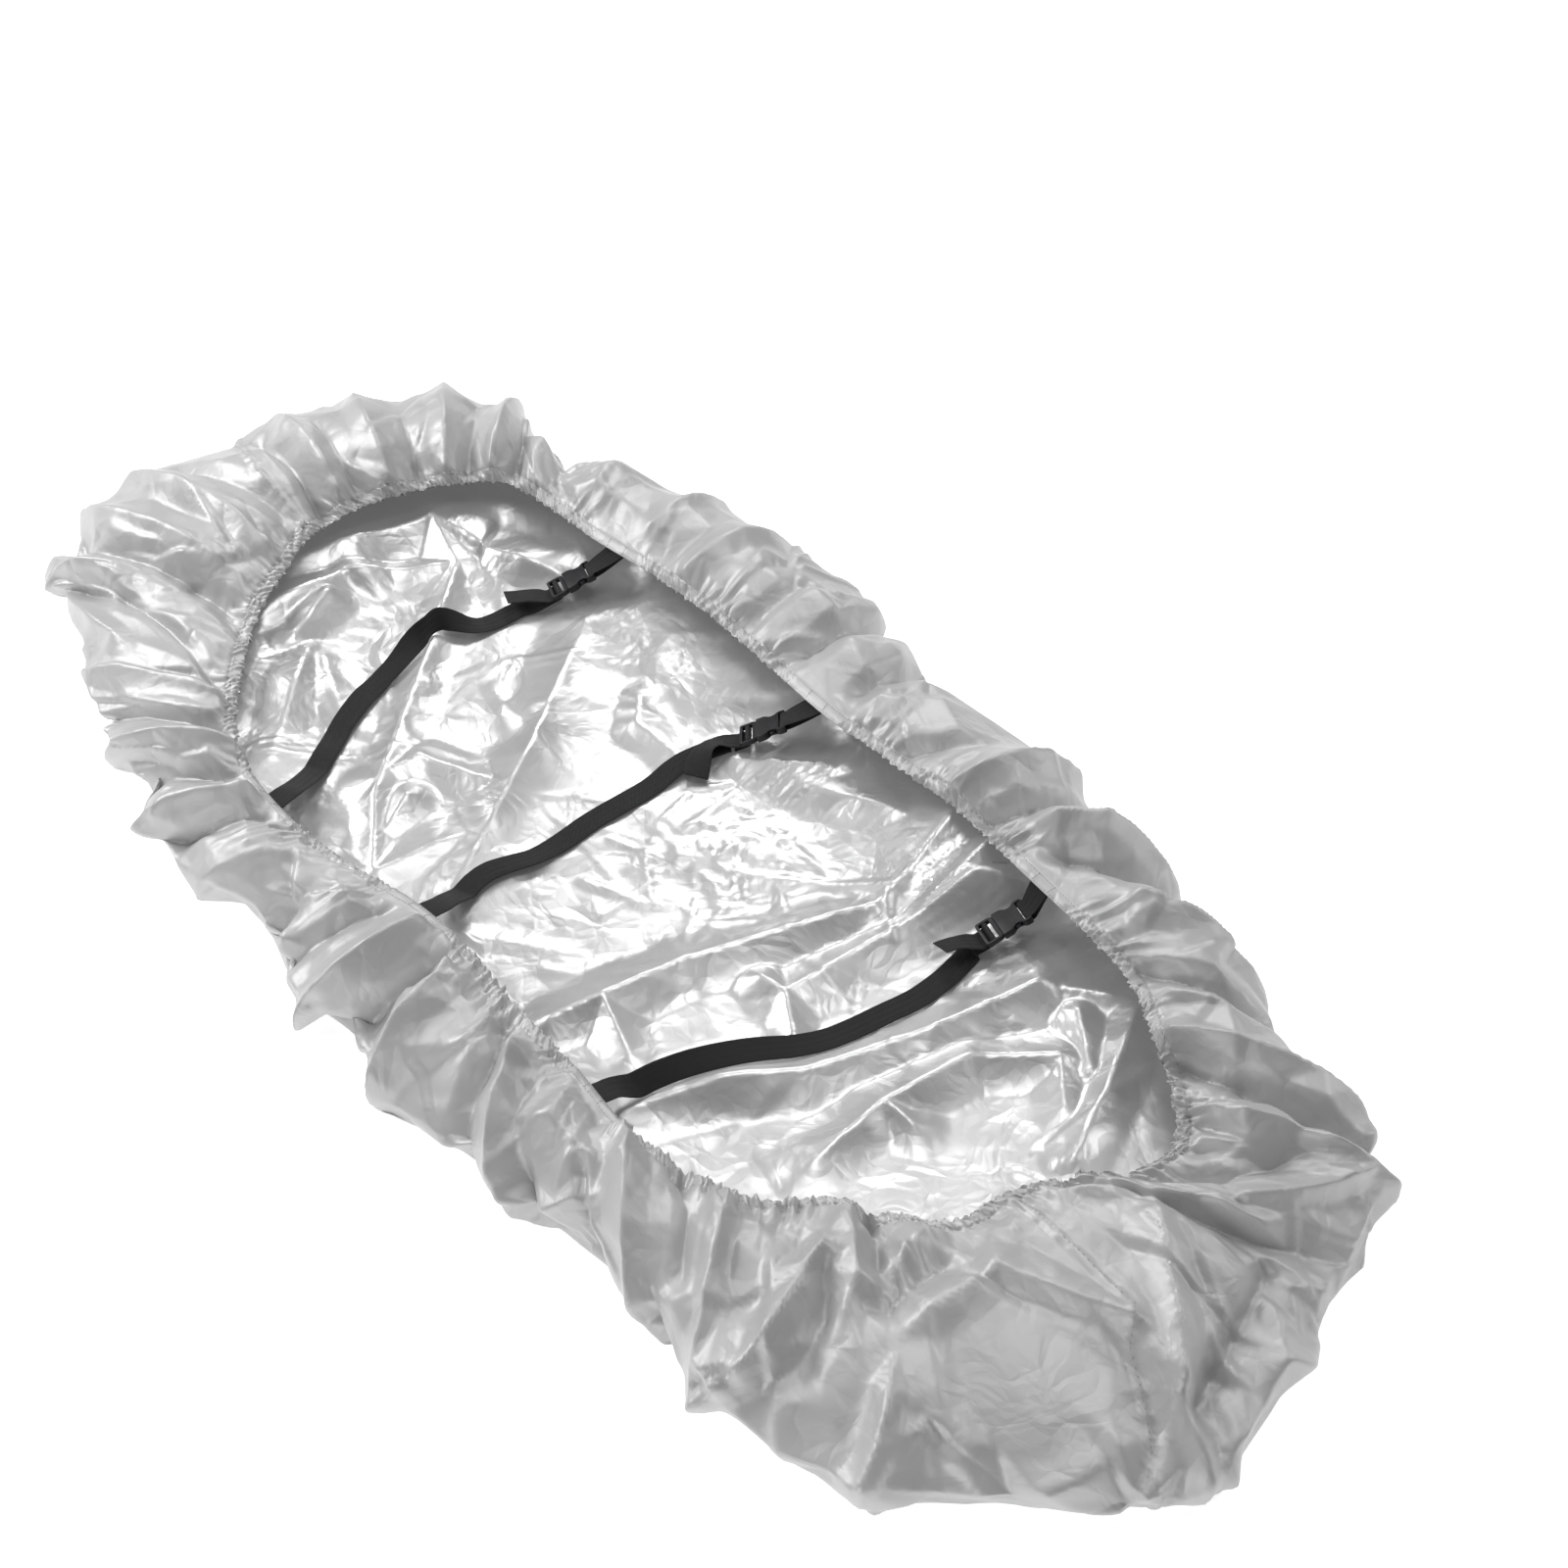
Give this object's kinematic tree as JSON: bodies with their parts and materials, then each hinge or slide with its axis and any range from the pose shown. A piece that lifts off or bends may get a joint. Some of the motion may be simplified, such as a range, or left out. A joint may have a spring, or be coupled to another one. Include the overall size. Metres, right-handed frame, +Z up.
{
  "type": "canoe cover",
  "caption": "Fitted cloth canoe cover lying inside up on a floor, its gathered elastic hem drawn in, with side-release buckle straps across.",
  "frame": {"origin": "centre of the bounding box in plan, at the floor that the cover lies on", "axes": "+X along the cover's length towards its near end in the picture, +Y across it towards the side where the buckles are, +Z up"},
  "size_m": [1.961, 0.9261, 0.1227],
  "materials": {
    "cloth": "silver-grey coated polyester, satin outside and shiny silver inside",
    "webbing": "black woven polypropylene webbing",
    "buckle": "black moulded acetal"
  },
  "bodies": {
    "root": {"cover": "cloth", "strap_1_long": "webbing", "strap_1_short": "webbing", "strap_2_long": "webbing", "strap_2_short": "webbing", "strap_3_long": "webbing", "strap_3_short": "webbing", "buckle_1_plug": "buckle", "buckle_1_socket": "buckle", "buckle_2_plug": "buckle", "buckle_2_socket": "buckle", "buckle_3_plug": "buckle", "buckle_3_socket": "buckle"}
  },
  "joints": []
}
